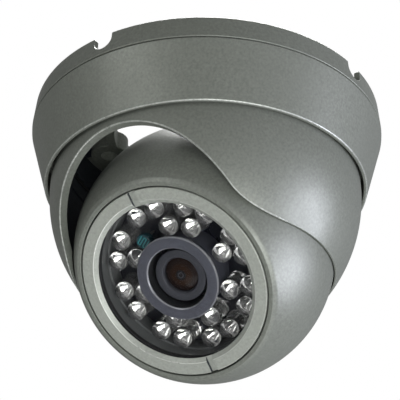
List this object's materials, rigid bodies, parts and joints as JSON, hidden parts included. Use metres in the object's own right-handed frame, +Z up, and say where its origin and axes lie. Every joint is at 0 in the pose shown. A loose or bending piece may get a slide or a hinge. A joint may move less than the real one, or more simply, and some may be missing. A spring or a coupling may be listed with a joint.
{
  "type": "dome security camera",
  "caption": "Metal eyeball dome camera for a ceiling: round base and trim ring, turning slotted shell, tilting ball with infrared lamps around a lens.",
  "frame": {"origin": "centre of the ceiling screw circle, on the base plate's ceiling face", "axes": "+Z up into the ceiling, -Y the way the slot and the eyeball face, X along the tilt axis"},
  "size_m": [0.0944, 0.0944, 0.0749],
  "materials": {
    "housing_paint": "fine metallic olive-grey paint, satin",
    "bezel_paint": "lighter metallic grey paint, satin",
    "steel": "zinc-plated, satin",
    "nylon": "natural nylon, matt",
    "rubber": "black rubber, matt",
    "window_glass": "clear, polished",
    "black_plastic": "black, matt",
    "black_board": "black solder mask, satin",
    "lamp_resin": "water-clear moulded resin",
    "lamp_metal": "silver-plated reflector cup",
    "photocell_face": "teal ceramic under clear coat",
    "hood_rubber": "charcoal, finely textured",
    "black_metal": "black anodised, satin",
    "lens_glass": "coated optical glass",
    "chip_plastic": "black moulded epoxy",
    "green_board": "green solder mask",
    "brass": "turned, bare",
    "ivory_plastic": "ivory nylon"
  },
  "bodies": {
    "base": {"base_plate": "housing_paint", "trim_ring": "housing_paint", "ring_screws": "steel", "glide_ring": "nylon", "friction_ring": "rubber"},
    "shell": {"dome_shell": "housing_paint", "pivot_pins": "steel", "pivot_washers": "nylon"},
    "eyeball": {"front_housing": "housing_paint", "rear_cap": "housing_paint", "cap_seal": "rubber", "cap_screws": "steel", "cable_gland": "rubber", "bezel_ring": "bezel_paint", "front_glass": "window_glass", "glass_gasket": "rubber", "lamp_spacer": "black_plastic", "ir_board": "black_board", "ir_leds": "lamp_resin", "led_dies": "lamp_metal", "photocell": "photocell_face", "lens_hood": "hood_rubber", "lens_barrel": "black_metal", "lens_front_element": "lens_glass", "lens_rear_element": "lens_glass", "lens_lock_ring": "black_metal", "lens_holder": "black_plastic", "holder_screws": "steel", "image_sensor": "chip_plastic", "main_board": "green_board", "board_chips": "chip_plastic", "board_spacers": "brass", "power_board": "green_board", "power_parts": "chip_plastic", "board_screws": "steel", "lead_connector": "ivory_plastic"}
  },
  "joints": [
    {"name": "pan", "type": "hinge", "parent": "base", "child": "shell", "pos_m": [0, 0, -0.0254], "axis": [0, 0, 1], "range_deg": [-171, 171]},
    {"name": "tilt", "type": "hinge", "parent": "shell", "child": "eyeball", "pos_m": [0, 0, -0.0418], "axis": [1, 0, 0], "range_deg": [-33.5, 41.5]}
  ]
}
